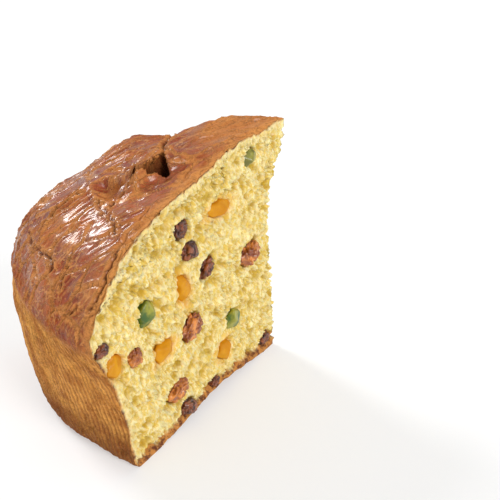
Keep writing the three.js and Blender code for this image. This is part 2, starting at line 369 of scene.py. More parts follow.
def ribbedRelief(angle, share, plain):
    # the wall: a cosine round the loaf that fades in patches, grain, pits near the foot, slow lumps
    turns = np.degrees(angle) * skin["ribsPerDegree"] * 2 * math.pi
    ribs = np.cos(turns + 0.9 * waves(plain, 12.0, 31))
    shown = smooth(0.03, 0.07, share) * smooth(-0.6, 0.1, waves(plain, 12.0, 33))
    height = skin["ribDepth"] * ribs * shown
    height = height + skin["wallGrain"] * layered(plain * np.array([1, 1, 0.5]), 2.4, 35, 3)
    pits = smooth(0.45, 0.75, waves(plain, 2.8, 36)) * smooth(0.3, 0.05, share)
    return height - skin["wallPits"] * pits + skin["wallLumps"] * layered(plain, 18.0, 37, 2)


def crackRelief(height, tan, plain):
    # a groove along each main crack with a raised lip on both sides: bells of the distance to it
    crackShade = np.zeros(height.shape)
    bent = plain + drift(plain, 3.4, 41, 3) + 0.5 * drift(plain, 1.4, 45, 3)
    for depth, width, lip, corners in skin["cracks"]:
        spots = np.array([skinSpot(*corner) for corner in corners])
        away = distanceToLine(bent, spots)
        lips = bell(away, width * 2.0, width * 0.8)
        height = height - depth * bell(away, 0, width) + lip * lips
        # painted shade along the crack's groove, for the crust's colour
        crackShade = np.maximum(crackShade, bell(away, 0, width * 0.8) * min(depth, 1.0))
        tan = np.maximum(tan, bell(away, width * 2.0, width))
    return height, tan, crackShade


def skinHeight(angle, share, plain, radius):
    # how far the skin stands off the plain shape in mm, masks for tan skin and for painted shade
    # in the cracks and the torn hole, and how much of each point belongs to the flap
    onDome = share > 0.6
    upDome = smooth(wedge["rimShare"] - 0.02, wedge["rimShare"] + 0.05, share)
    flat = skinFlow(angle, share) + 3.0 * drift(plain, 15.0, 5, 2) + 0.8 * drift(plain, 4.0, 7, 2)
    dome, tan = glossyRelief(flat, plain)
    height = mix(ribbedRelief(angle, share, plain), dome, upDome)
    sunk = bell(share, wedge["rimShare"] + 0.04, 0.08) * sideShare(angle)
    height = height - skin["rimSink"] * sunk
    height = height + skin["rimLine"] * bell(share, wedge["rimShare"] + 0.03, 0.02)
    height, tan, crackShade = crackRelief(height, tan, plain)
    spots = np.stack([angle * radius, radius + 0.0 * angle], -1) + 0.5 * drift(plain, 2.4, 51, 2)
    outside, flapEdge = outsideTear(spots)
    outside = np.where(onDome, outside, 1e3)
    flapEdge = np.where(onDome, flapEdge, 1e3)
    hole = smooth(0.3, -0.5, outside)
    flap = smooth(skin["flapWidth"], 0.3, flapEdge) * smooth(-0.2, 0.6, outside)
    turns = flapEdge / skin["flapFolds"] * 2 * math.pi
    folds = np.cos(turns + 1.5 * waves(plain, 6.0, 53))
    height = height + flap * (skin["flapLift"] + skin["foldHeight"] * folds)
    height = height - skin["tearDepth"] * hole
    degrees, percent, depth, halfWide, halfLong = skin["hollow"]
    offset = (spots - mapSpot(degrees, percent)) / np.array([halfWide, halfLong])
    away = np.hypot(offset[..., 0], offset[..., 1]) + 0.25 * waves(plain, 5.0, 54)
    height = height - (depth * smooth(1.3, 0.6, away) - 0.8 * bell(away, 1.35, 0.2)) * onDome
    # tan round the hollow, on the folds and along the tear; paler to the tip and the front cut
    tan = np.maximum(tan, 0.8 * bell(away, 1.35, 0.15) * onDome)
    tan = np.maximum(tan, flap * smooth(0.2, 1.0, folds))
    tan = np.maximum(tan, smooth(0.5, 0.9, flap) * bell(outside, 0.8, 0.7))
    pale = np.maximum(smooth(0.84, 0.98, share), smooth(22, 29, np.degrees(angle)))
    pale = pale * np.clip(0.7 + 0.8 * waves(plain, 3.0, 55), 0, 1)
    tan = np.maximum(tan, skin["paleEdge"] * pale) * upDome * (1 - hole)
    # painted shade inside the torn hole as well
    crackShade = np.maximum(crackShade, smooth(0.9, -0.3, outside))
    return height, tan, crackShade, flap


def skinPoints(angle, share):
    # the plain shape, moved along its own outline's normal by skinHeight
    angle, share = np.broadcast_arrays(np.asarray(angle, float), np.asarray(share, float))
    radius, height = outline(angle, share)
    plain = place(angle, radius, height)
    step = 0.004
    r1, z1 = outline(angle, np.clip(share + step, 0, 1))
    r0, z0 = outline(angle, np.clip(share - step, 0, 1))
    run = np.stack([r1 - r0, z1 - z0], -1)
    run = run / np.maximum(np.linalg.norm(run, axis=-1, keepdims=True), 1e-9)
    off, tan, crackShade, flap = skinHeight(angle, share, plain, radius)
    off = off * smooth(0.0, 0.02, share) * smooth(1.0, 0.985, share)     # still at both ends
    outR, outZ = run[..., 1] * off, -run[..., 0] * off
    points = plain + np.stack([-np.cos(angle) * outR, -np.sin(angle) * outR, outZ], -1)
    # the flap leans towards the middle of the hole
    lean = np.array([skinSpot(*corner) for corner in skin["tear"]]).mean(0) - plain
    lean = lean / np.maximum(np.linalg.norm(lean, axis=-1, keepdims=True), 1.0)
    points = points + lean * (skin["flapReach"] * flap ** 2)[..., None]
    return points, tan, crackShade


# fruit, listed here because the crumb opens round each piece

fruit = {
    # name: size along the cut, up and into it in mm, turn in degrees within the cut
    "raisin_double_upper": ((9, 9, 8), 20),
    "raisin_double_lower": ((10, 8, 8), -30),
    "raisin_dark": ((8, 11, 8), -40),
    "raisin_round": ((14, 11, 9), 15),
    "raisin_glossy": ((11, 13, 8), -45),
    "raisin_small": ((7, 8, 6), 5),
    "raisin_low": ((13, 9, 8), 12),
    "raisin_foot": ((11, 8, 7), -35),
    "raisin_rim": ((7, 5, 5), 8),
    "raisin_burnt": ((6, 5, 5), 20),
    "raisin_corner": ((9, 7, 5), 20),
    "candied_orange_top": ((14, 7, 7), -8),
    "candied_orange_mid": ((7, 12, 7), 12),
    "candied_orange_left": ((11, 8, 7), 14),
    "candied_orange_low": ((9, 10, 7), 20),
    "candied_orange_wall": ((9, 9, 6), 0),
    "candied_citron_top": ((9, 7, 7), 25),
    "candied_citron_left": ((8, 10, 7), -22),
    "candied_citron_right": ((9, 9, 7), 12),
    "raisin_back_1": ((10, 12, 8), 30),
    "raisin_back_2": ((12, 9.5, 8), -20),
    "raisin_back_3": ((13, 9, 8), 12),
    "raisin_back_4": ((9.5, 12, 8), -15),
    "raisin_back_5": ((10, 8, 7), 40),
    "candied_orange_back_1": ((9.5, 8.5, 7), 10),
    "candied_orange_back_2": ((10.5, 8.5, 7), -25),
    "candied_orange_back_3": ((8.5, 9.5, 7), 15),
    "candied_citron_back_1": ((8.5, 9.5, 7), 20),
    "candied_citron_back_2": ((9.5, 7.5, 6.5), -10),
}


def fruitSeat(name):
    # the middle of a fruit's solid, and its own three directions: across, up and out of the cut
    low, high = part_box(name)
    middle = (np.array(low) + np.array(high)) / 2 * perMetre - shift
    outward = backOut if "_back_" in name else frontOut
    upright = np.array([0.0, 0.0, 1.0])
    across = np.cross(upright, outward)
    turn = math.radians(fruit[name][1])
    first = across * math.cos(turn) + upright * math.sin(turn)
    second = upright * math.cos(turn) - across * math.sin(turn)
    return middle, first, second, outward


# the crumb in the two cuts

crumb = {
    "swell": 0.9,               # slow unevenness of the torn face
    "swellSize": 13.0,
    "hollows": 2.0,             # sparse smooth hollows
    "hollowSize": 6.5,
    "pits": 1.0,
    "pitSize": 2.9,
    "shreds": 0.85,             # torn ragged walls between the pores
    "shredSize": 2.5,
    "fineShreds": 0.7,
    "fineSize": 1.35,
    "lean": 24.0,               # the walls are drawn out one way, this far off upright
    "stretch": 0.5,             # and this much
    "grit": 0.45,
    "gritSize": 1.15,
    "evenDepth": 0.35,          # the depth value where the crumb is flat
    "denseBand": 3.8,           # width of the close pale crumb under the crust
    "valley": 2.2,              # the dip just inside that band, deepest on the shoulder
    "pocketLip": -0.1,          # the crumb stands no higher than this beside fruit
    "baseCrust": 3.6,           # thickness of the baked underside where the cut crosses it
    "cornerCrust": 4.0,         # and how much thicker it is at the edge where the cuts meet
    "stain": 3.5,               # how far syrup has coloured the crumb round candied orange
}


def laidFlat(points, outward):
    # a cut's points as mm along it and mm up
    return np.stack([points @ np.cross([0.0, 0.0, 1.0], outward), points[..., 2]], -1)


def tornWalls(spots, size, seed):
    # thin ridges along the zero lines of the waves, with flat floors between them
    ridge = np.clip(1 - 2.8 * np.abs(waves(spots, size, seed)), 0, 1)
    return 1.7 * ridge ** 1.6 - 0.6


def crumbHeight(points, outward, edge, seed):
    # torn crumb: slow swell, sparse hollows and small pits, and two sizes of ragged shreds
    flat = laidFlat(points, outward)
    bent = flat + 1.5 * (drift(flat, 5.0, seed, 2) + 0.5 * drift(flat, 1.7, seed + 2, 2))
    height = crumb["swell"] * layered(flat, crumb["swellSize"], seed + 4, 2)
    crowd = smooth(-0.4, 0.4, waves(flat, 30.0, seed + 6))
    near, _, own = bubbles(bent, crumb["hollowSize"], seed + 5)
    hollow = smooth(0.5, 0.1, near) * smooth(0.62, 0.74, own + 0.16 * crowd)
    near, wall, own = bubbles(bent * np.array([1.0, 0.8]), crumb["pitSize"], seed + 45)
    pit = smooth(0.03, 0.35, wall) * smooth(0.7, 0.25, near) * smooth(0.4, 0.75, own)
    tilt = math.radians(crumb["lean"])
    leaning = bent @ np.array([[math.cos(tilt), -math.sin(tilt)], [math.sin(tilt), math.cos(tilt)]])
    leaning = leaning * np.array([1.0, crumb["stretch"]])
    shred = tornWalls(leaning, crumb["shredSize"], seed + 8)
    fine = tornWalls(leaning, crumb["fineSize"], seed + 9)
    busy = smooth(-0.5, 0.5, waves(flat, 11.0, seed + 7))
    torn = (crumb["shreds"] * shred + crumb["fineShreds"] * fine) * mix(0.5, 1.15, busy)
    torn = torn + crumb["grit"] * waves(bent, crumb["gritSize"], seed + 10)
    height = height + torn * (1 - 0.7 * hollow) - crumb["hollows"] * hollow - crumb["pits"] * pit
    inside = smooth(0.0, crumb["denseBand"], edge)
    shoulder = smooth(62.0, 80.0, points[..., 2]) * smooth(108.0, 92.0, points[..., 2])
    dip = bell(edge, crumb["denseBand"] + 2.6, 2.2) * mix(0.25, 1.0, shoulder)
    height = height * mix(0.25, 1.0, inside) - crumb["valley"] * dip
    # the second value is painted shade by depth: darker in hollows, pits and the valley, lighter on
    # raised shreds
    depth = 0.6 * hollow + 0.4 * pit + 0.35 * dip - 0.32 * torn
    return height, np.clip(crumb["evenDepth"] + depth * inside, 0, 1)


def openForFruit(height, shadeByDepth, points, outward, names):
    # lowers the crumb to just behind each fruit, with a ragged rim that laps over its sides
    stain = np.zeros(height.shape)
    ragged = 0.13 * waves(points, 2.2, 77) + 0.06 * waves(points, 1.1, 78)
    for name in names:
        middle, first, second, _ = fruitSeat(name)
        a, b, c = np.array(fruit[name][0]) / 2
        offset = points - middle
        x, y = offset @ first / a, offset @ second / b
        q = np.sqrt(x * x + y * y)
        stand = (middle - points.reshape(-1, 3)[0]) @ outward
        back = stand - c * np.sqrt(np.clip(1 - q * q, 0, 1)) - 0.4
        pit = smooth(1.08, 0.96, q + ragged)
        around = smooth(1.7, 1.15, q)
        height = mix(height, np.minimum(height, crumb["pocketLip"] + 2.0 * ragged), around)
        height = mix(height, np.minimum(height, back), pit)
        # painted shade in the crumb at the back of each fruit's pocket
        shadeByDepth = np.maximum(shadeByDepth, 0.9 * pit)
        if "orange" in name:
            away = (q - 1) * min(a, b) + 2.5 * waves(points, 7.0, 79)
            stain = np.maximum(stain, smooth(crumb["stain"], 0.0, away))
    return height, shadeByDepth, stain


# the loaf's one closed surface: front cut, crust, back cut and base share their borders

mesh = {
    "side": 200,                # cells along each side of the front cut
    "columns": 200,             # cells round the crust
    "base": 50,                 # cells along each side of the underside
}
poolPoints, poolValues, poolFlow = [], [], []


def addPoints(points, values, flow):
    # keeps points, their colour values and their place laid flat, and hands out their numbers
    first = sum(len(block) for block in poolPoints)
    poolPoints.append(points.reshape(-1, 3))
    poolValues.append(np.broadcast_to(values, points.shape[:-1] + (4,)).reshape(-1, 4))
    poolFlow.append(flow.reshape(-1, 2))
    return np.arange(first, first + len(poolPoints[-1])).reshape(points.shape[:-1])


def quilt(ids, finer, flip):
    # faces of a grid of vertex numbers; a side named in finer has extra vertices along it
    m, n = ids.shape[0] - 1, ids.shape[1] - 1
    careful = np.zeros((m, n), bool)
    for side in finer:
        careful[{"i0": (0, slice(None)), "i1": (m - 1, slice(None)),
                 "j0": (slice(None), 0), "j1": (slice(None), n - 1)}[side]] = True
    quads = np.stack([ids[:-1, :-1], ids[1:, :-1], ids[1:, 1:], ids[:-1, 1:]], -1)
    faces = quads[~careful].tolist()

    def chain(side, k, plain):
        # one cell's share of a side: the extra vertices if it has them, else its two corners
        if side not in finer:
            return plain
        cells = n if side[0] == "i" else m
        factor = (len(finer[side]) - 1) // cells
        return list(finer[side][k * factor:(k + 1) * factor + 1])

    for i, j in np.argwhere(careful):
        a, b, c, d = ids[i, j], ids[i + 1, j], ids[i + 1, j + 1], ids[i, j + 1]
        low = chain("j0", i, [a, b]) if j == 0 else [a, b]
        right = chain("i1", j, [b, c]) if i == m - 1 else [b, c]
        top = chain("j1", i, [d, c]) if j == n - 1 else [d, c]
        left = chain("i0", j, [a, d]) if i == 0 else [a, d]
        loop = low + right[1:] + top[::-1][1:] + left[::-1][1:-1]
        loop = [int(v) for k, v in enumerate(loop) if v != loop[k - 1]]
        if len(set(loop)) > 2:
            faces.append(loop)
    return [f[::-1] for f in faces] if flip else faces


def fillBetween(bottom, top, left, right):
    # Coons patch: the surface that joins four border curves
    s = np.linspace(0, 1, len(bottom))[:, None, None]
    v = np.linspace(0, 1, len(left))[None, :, None]
    across = (1 - s) * left[None] + s * right[None]
    upward = (1 - v) * bottom[:, None] + v * top[:, None]
    corners = ((1 - s) * (1 - v) * bottom[0] + s * (1 - v) * bottom[-1]
               + (1 - s) * v * top[0] + s * v * top[-1])
    return across + upward - corners


def nearestBorder(points, border):
    # distance from each grid point to the nearest point of a border
    flat = points.reshape(-1, 3)
    best = np.full(len(flat), 1e9)
    for block in np.array_split(border, 20):
        d = np.sqrt(((flat[:, None] - block[None]) ** 2).sum(-1)).min(1)
        best = np.minimum(best, d)
    return best.reshape(points.shape[:-1])


side = mesh["side"]

# rows up the outline, evenly spaced along the front cut's border
dense = np.linspace(0, 1, 4001)
denseR, denseZ = outline(half, dense)
travel = np.concatenate([[0], np.cumsum(np.hypot(np.diff(denseR), np.diff(denseZ)))])
rowShares = np.interp(np.linspace(0, travel[-1], 2 * side + 1), travel, dense)
rowShares[0], rowShares[-1] = 0.0, 1.0

faceSets = []


def edgeCurve(count):
    # the edge where the cuts meet, with the crumb's small teeth
    z = np.linspace(0, wedge["rimHeight"] + wedge["domeRise"], count)
    points = place(0.0, 0.0 * z, z)
    spot = np.stack([z, 0 * z], -1)
    teeth = 1.6 * layered(spot, 4.5, 61, 3) + 1.7 * waves(spot, 2.0, 63)
    teeth = teeth + 0.8 * waves(spot, 1.2, 64)
    fade = smooth(0, 4, z) * smooth(z[-1], z[-1] - 3, z)
    return points + (teeth * fade)[:, None] * np.array([1.0, 0.0, 0.0])


def footCurve(angle, count):
    # the lower border of a cut, from the edge where the cuts meet out to the foot
    radius = np.linspace(0, outline(angle, 0.0)[0], count)
    points = place(angle, radius, archHeight(angle, radius))
    rough = 0.7 * layered(np.stack([radius, 0 * radius], -1), 5.0, 65, 3)
    rough = np.clip(rough * smooth(half * 0.8, half, angle), -0.4, 1.5)
    points[:, 2] += rough * smooth(0, 12, radius) * smooth(radius[-1], radius[-1] - 10, radius)
    points[:, 2] = np.maximum(points[:, 2], 0)
    return points


def cutPatch(angle, outward, count, names, seed):
    # one cut: the four borders, the crumb between them, and its colour values
    border = skinPoints(angle, rowShares[::side // count])[0]
    bottom, left = footCurve(angle, count + 1), edgeCurve(count + 1)
    right, top = border[:count + 1], border[count:][::-1]
    plain = fillBetween(bottom, top, left, right)
    skinEdge = nearestBorder(plain, border)
    baseEdge = nearestBorder(plain, bottom)
    cutsEdge = nearestBorder(plain, left)
    height, shadeByDepth = crumbHeight(plain, outward, np.minimum(skinEdge, baseEdge * 1.6), seed)
    height, shadeByDepth, stain = openForFruit(height, shadeByDepth, plain, outward, names)
    height = height * smooth(0, 0.8, skinEdge) * smooth(0, 0.8, baseEdge)
    height = height * smooth(0, 2.0, cutsEdge)
    points = plain + height[..., None] * outward
    # values: crust, painted shade by depth in the hollows, pits and fruit pockets with painted
    # light on raised shreds, how close to the crust, syrup stain
    ragged = layered(plain, 3.0, seed + 70, 3)
    onWall = smooth(wedge["rimHeight"] + 6, wedge["rimHeight"] - 6, plain[..., 2])
    crust = smooth(mix(1.0, 1.7, onWall), 0.2, skinEdge + 0.3 * ragged)
    along = np.linalg.norm(plain[..., :2], axis=-1)
    thick = crumb["baseCrust"] + crumb["cornerCrust"] * bell(along, 0.0, 9.0)
    baseCrust = smooth(thick + 1.2, thick - 1.0, baseEdge + 0.8 * ragged)
    values = np.stack([np.maximum(crust, baseCrust), shadeByDepth,
                       np.exp(-np.minimum(skinEdge, baseEdge * 1.5) / 3.0), stain], -1)
    return points, values


frontNames = [n for n in fruit if "_back_" not in n]
backNames = [n for n in fruit if "_back_" in n]

frontPoints, frontValues = cutPatch(half, frontOut, side, frontNames, 200)
frontIds = addPoints(frontPoints, frontValues, laidFlat(frontPoints, frontOut))
faceSets.append((quilt(frontIds, {}, True), 1))
frontBorder = np.concatenate([frontIds[-1, :], frontIds[:-1, -1][::-1]])
print("front cut:", frontPoints.shape)

# crust values: tan, painted shade in the cracks and the torn hole, the matt band beside the front
# cut and round the tip, and the dome
columns = mesh["columns"]
angles = np.linspace(-half, half, columns + 1)
shares = rowShares[::2]
skinXyz, skinTan, skinCrackShade = skinPoints(angles[:, None], shares[None, :])
arc = np.abs(half - angles[:, None]) * outline(angles[:, None], shares[None, :])[0]
arc = arc + 1.6 * layered(skinXyz, 7.0, 91, 3)
beside = smooth(skin["besideBand"], 0.5, arc)
crown = smooth(0.84, 0.92, shares[None, :] + 0.02 * waves(skinXyz, 12.0, 93))
beside = np.maximum(beside, 0.6 * crown)
wavyShares = shares[None, :] + 0.012 * waves(skinXyz, 9.0, 92)
onDome = smooth(wedge["rimShare"] - 0.03, wedge["rimShare"] + 0.02, wavyShares)
skinValues = np.stack([skinTan, np.clip(skinCrackShade, 0, 1), beside, onDome], -1)
skinIds = np.zeros((columns + 1, len(shares)), int)
crustFlow = skinFlow(angles[:, None], shares[None, :])
skinIds[:-1, :-1] = addPoints(skinXyz[:-1, :-1], skinValues[:-1, :-1], crustFlow[:-1, :-1])
skinIds[-1, :] = frontBorder[::2]
skinIds[:, -1] = frontBorder[-1]
faceSets.append((quilt(skinIds, {"i1": frontBorder, "j1": skinIds[:, -1]}, False), 0))
print("crust:", skinXyz.shape)

backSide = side // 2
backPoints, backValues = cutPatch(-half, backOut, backSide, backNames, 300)
backIds = np.zeros((backSide + 1, backSide + 1), int)
backFlow = laidFlat(backPoints, backOut)
inner = (slice(1, -1), slice(None, -1))
backIds[inner] = addPoints(backPoints[inner], backValues[inner], backFlow[inner])
backIds[0, :] = frontIds[0, ::2]
backIds[-1, :] = skinIds[0, :backSide + 1]
backIds[:, -1] = skinIds[0, backSide:][::-1]
faceSets.append((quilt(backIds, {"i0": frontIds[0, :]}, False), 1))
print("back cut:", backPoints.shape)

baseCells = mesh["base"]
baseAngles = np.linspace(-half, half, baseCells + 1)[:, None]
baseShare = np.linspace(0, 1, baseCells + 1)[None, :]
baseRadius = outline(baseAngles, 0.0)[0] * baseShare
baseXyz = place(baseAngles, baseRadius, archHeight(baseAngles, baseRadius))
baseIds = np.zeros((baseCells + 1, baseCells + 1), int)
inner = (slice(1, -1), slice(1, -1))
baseIds[inner] = addPoints(baseXyz[inner], np.array([0.3, 0.0, 0.0, 0.0]), baseXyz[inner][..., :2])
baseIds[0, :] = backIds[::backSide // baseCells, 0]
baseIds[-1, :] = frontIds[::side // baseCells, 0]
baseIds[:, 0] = frontIds[0, 0]
baseIds[:, -1] = skinIds[::columns // baseCells, 0]
faceSets.append((quilt(baseIds, {"i0": backIds[:, 0], "i1": frontIds[:, 0], "j0": baseIds[:, 0],
                                 "j1": skinIds[:, 0]}, False), 0))


def buildMesh(name, points, faces, materials, faceMaterials=None, values=None, flows=None):
    # a mesh object from points in mm, smooth shaded, at the origin
    data = bpy.data.meshes.new(name)
    data.from_pydata(((points + shift) / perMetre).tolist(), [], faces)
    data.update()
    data.polygons.foreach_set("use_smooth", np.ones(len(data.polygons), bool))
    for material in materials:
        data.materials.append(material)
    if faceMaterials is not None:
        data.polygons.foreach_set("material_index", faceMaterials)
    if values is not None:
        layer = data.attributes.new("bake", "FLOAT_COLOR", "POINT")
        layer.data.foreach_set("color", np.asarray(values, np.float32).ravel())
    if flows is not None:
        corner = np.zeros(len(data.loops), int)
        data.loops.foreach_get("vertex_index", corner)
        look = np.repeat(faceMaterials, [len(face) for face in faces])
        flow = np.where(look[:, None] == 0, flows[0][corner], flows[1][corner]) / perMetre
        data.uv_layers.new(name="flow").uv.foreach_set("vector", flow.astype(np.float32).ravel())
    piece = bpy.data.objects.new(name, data)
    bpy.context.scene.collection.objects.link(piece)
    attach(piece, "root")
    return piece


# colours and shader groups

def srgb(r, g, b):
    # a 0..255 screen colour as the linear numbers Blender keeps, by the sRGB curve
    c = np.array([r, g, b]) / 255.0
    c = np.where(c <= 0.04045, c / 12.92, ((c + 0.055) / 1.055) ** 2.4)
    return (*c.tolist(), 1.0)


def newNode(tree, kind, spot=(0, 0), **settings):
    # a node at a spot in the editor, with its own settings
    node = tree.nodes.new(kind)
    node.location = spot
    for key, value in settings.items():
        setattr(node, key, value)
    return node


def connect(tree, value, socket):
    # a link where the value is another node's socket, and otherwise the socket's own value
    if isinstance(value, bpy.types.NodeSocket):
        tree.links.new(value, socket)
    else:
        socket.default_value = value


def noiseNode(tree, coordinates, scale, detail=4.0, roughness=0.55, bend=0.0):
    # fractal noise, 0..1, with about that many grains to the metre
    node = newNode(tree, "ShaderNodeTexNoise")
    for key, value in (("Vector", coordinates), ("Scale", scale), ("Detail", detail),
                       ("Roughness", roughness), ("Distortion", bend)):
        connect(tree, value, node.inputs[key])
    return node.outputs["Fac"]


def rampNode(tree, source, low, high, outLow=0.0, outHigh=1.0):
    # an S curve from outLow where the source is low to outHigh where it is high
    node = newNode(tree, "ShaderNodeMapRange", interpolation_type="SMOOTHSTEP")
    for key, value in (("Value", source), ("From Min", low), ("From Max", high),
                       ("To Min", outLow), ("To Max", outHigh)):
        connect(tree, value, node.inputs[key])
    return node.outputs["Result"]


def noiseMask(tree, coordinates, grain, bend=0.0):
    # a noise with its grain's scale, detail and roughness, sharpened between two of its levels
    scale, detail, roughness, low, high = grain
    return rampNode(tree, noiseNode(tree, coordinates, scale, detail, roughness, bend), low, high)


def lineNode(tree, source, width):
    # thin lines where a noise crosses its middle
    rise = rampNode(tree, source, 0.5 - width, 0.5)
    return maths(tree, "MULTIPLY", rise, rampNode(tree, source, 0.5 + width, 0.5))


def mixColour(tree, share, a, b):
    # colour a where share is 0 and colour b where it is 1
    node = newNode(tree, "ShaderNodeMix", data_type="RGBA")
    for number, value in ((0, share), (6, a), (7, b)):      # 6 and 7 are its colour inputs
        connect(tree, value, node.inputs[number])
    return node.outputs[2]


def maths(tree, operation, a, b):
    # a sum, difference or product, kept within 0..1
    node = newNode(tree, "ShaderNodeMath", operation=operation, use_clamp=True)
    connect(tree, a, node.inputs[0])
    connect(tree, b, node.inputs[1])
    return node.outputs[0]


def layerColours(tree, colour, layers):
    # lays colours over the first one in turn: each has a mask, its weight and its colour
    for mask, weight, over in layers:
        colour = mixColour(tree, maths(tree, "MULTIPLY", mask, weight), colour, over)
    return colour


def bakedMasks(tree, colour):
    # the three masks that a colour attribute or socket holds
    node = newNode(tree, "ShaderNodeSeparateColor", (-1000, 0))
    tree.links.new(colour, node.inputs["Color"])
    return node.outputs


def startMaterial(name):
    # a new material with its node tree and its Principled shader
    material = bpy.data.materials.new(name)
    material.use_nodes = True
    tree = material.node_tree
    return material, tree, tree.nodes["Principled BSDF"]


def bumpInto(tree, height, strength, distance, shader):
    # a height map, distance metres from 0 to 1, turned into the shader's normals
    node = newNode(tree, "ShaderNodeBump")
    node.inputs["Strength"].default_value = strength
    node.inputs["Distance"].default_value = distance
    tree.links.new(height, node.inputs["Height"])
    tree.links.new(node.outputs["Normal"], shader.inputs["Normal"])


crustColours = {
    "golden": srgb(182, 94, 34),
    "baked": srgb(150, 54, 18),
    "dark": srgb(94, 32, 10),
    "crease": srgb(222, 150, 80),
    "wallLight": srgb(254, 182, 90),
    "wallDark": srgb(164, 84, 28),
    "foot": srgb(108, 50, 18),
    # torn: painted shade, a near black for the cracks and the torn hole
    "torn": srgb(56, 14, 5),
}
crustGrain = {
    # scale, detail, roughness, then the noise levels where the mask starts and is full
    "broad": (38.0, 4.0, 0.55, 0.36, 0.66),
    "blotch": (120.0, 5.0, 0.6, 0.38, 0.68),
    "specks": (1300.0, 3.0, 0.65, 0.46, 0.62),
    "pale": (1100.0, 3.0, 0.65, 0.56, 0.68),
    "streak": 0.4,              # the long lines are drawn out by one over this up the dome
    "ribScale": 150.0,          # one rib in 2 mm
    "footBand": (0.028, 0.004),     # heights in metres between which the wall darkens
    "glossBand": (0.06, 0.08),      # and between which the dome's gloss comes in
}


def crustGroup():
    # baked crust from its baked-in masks: gives its colour, a gloss mask and a height for bumps
    group = bpy.data.node_groups.new("bakedCrust", "ShaderNodeTree")
    for name, way, kind in (("Masks", "INPUT", "Color"), ("Dome", "INPUT", "Float"),
                            ("Flow", "INPUT", "Vector"), ("Colour", "OUTPUT", "Color"),
                            ("Gloss", "OUTPUT", "Float"), ("Height", "OUTPUT", "Float")):
        group.interface.new_socket(name, in_out=way, socket_type="NodeSocket" + kind)
    start = newNode(group, "NodeGroupInput", (-1400, 0))
    end = newNode(group, "NodeGroupOutput", (1200, 0))
    where = newNode(group, "ShaderNodeTexCoord", (-1400, -400)).outputs["Object"]
    crease, crackShade, beside = bakedMasks(group, start.outputs["Masks"])
    dome = start.outputs["Dome"]
    xyz = newNode(group, "ShaderNodeSeparateXYZ", (-1200, -400))
    group.links.new(where, xyz.inputs[0])
    streaky = newNode(group, "ShaderNodeMapping", (-1200, -700))
    streaky.inputs["Scale"].default_value = (1.0, crustGrain["streak"], 1.0)
    group.links.new(start.outputs["Flow"], streaky.inputs["Vector"])
    long = noiseNode(group, streaky.outputs[0], 190.0, 2.0, 0.5, 0.4)
    short = noiseNode(group, where, 170.0, 2.5, 0.5, 0.3)
    lines = maths(group, "ADD", lineNode(group, long, 0.03), lineNode(group, short, 0.018))
    ribs = newNode(group, "ShaderNodeTexWave", (-1000, -700), bands_direction="X")
    for name, value in (("Scale", crustGrain["ribScale"]), ("Distortion", 2.0), ("Detail", 3.0),
                        ("Detail Scale", 2.0), ("Vector", start.outputs["Flow"])):
        connect(group, value, ribs.inputs[name])
    wallOnly = maths(group, "SUBTRACT", 1.0, dome)
    ribs = maths(group, "MULTIPLY", ribs.outputs["Fac"], wallOnly)
    broad, blotch, specks, pale = (noiseMask(group, where, crustGrain[name])
                                   for name in ("broad", "blotch", "specks", "pale"))
    of = crustColours
    domeColour = layerColours(group, mixColour(group, broad, of["baked"], of["golden"]), (
        (blotch, 0.45, of["dark"]), (lines, 0.65, of["crease"]), (crease, 0.8, of["crease"])))
    low = rampNode(group, xyz.outputs["Z"], *crustGrain["footBand"])
    wallColour = layerColours(group, of["wallLight"], (
        (blotch, 0.6, of["wallDark"]), (ribs, 0.6, of["wallDark"]), (low, 0.7, of["foot"])))
    besideDome = maths(group, "MULTIPLY", beside, dome)
    # the crack mask paints shade in the torn colour into the cracks and the torn hole
    colour = layerColours(group, mixColour(group, dome, wallColour, domeColour), (
        (besideDome, 0.85, of["crease"]), (specks, 0.25, of["dark"]),
        (pale, 0.4, of["crease"]), (crackShade, 0.95, of["torn"])))
    uneven = rampNode(group, noiseNode(group, where, 60.0, 3.0), 0.36, 0.58, 0.35, 1.0)
    upward = rampNode(group, xyz.outputs["Z"], *crustGrain["glossBand"], 0.2, 1.0)
    gloss = maths(group, "MULTIPLY", maths(group, "MULTIPLY", dome, upward), uneven)
    for mask, weight in ((beside, 0.95), (crackShade, 0.9), (crease, 0.6)):
        rest = maths(group, "SUBTRACT", 1.0, maths(group, "MULTIPLY", mask, weight))
        gloss = maths(group, "MULTIPLY", gloss, rest)
    grain = maths(group, "SUBTRACT", 0.6, maths(group, "MULTIPLY", dome, 0.3))
    height = maths(group, "MULTIPLY", noiseNode(group, where, 420.0, 8.0, 0.75), grain)
    height = maths(group, "ADD", height, maths(group, "MULTIPLY", lines, 0.25))
    height = maths(group, "ADD", height, maths(group, "MULTIPLY", ribs, 0.25))
    for source, name in ((colour, "Colour"), (gloss, "Gloss"), (height, "Height")):
        group.links.new(source, end.inputs[name])
    return group


bakedCrust = crustGroup()

crustFinish = {
    "mattRoughness": 0.75,
    "glossRoughness": 0.45,
    "shine": 0.15,
    "coat": 1.0,
    "coatRoughness": 0.2,
    "bump": 0.9,
    "bumpDistance": 0.0018,
}


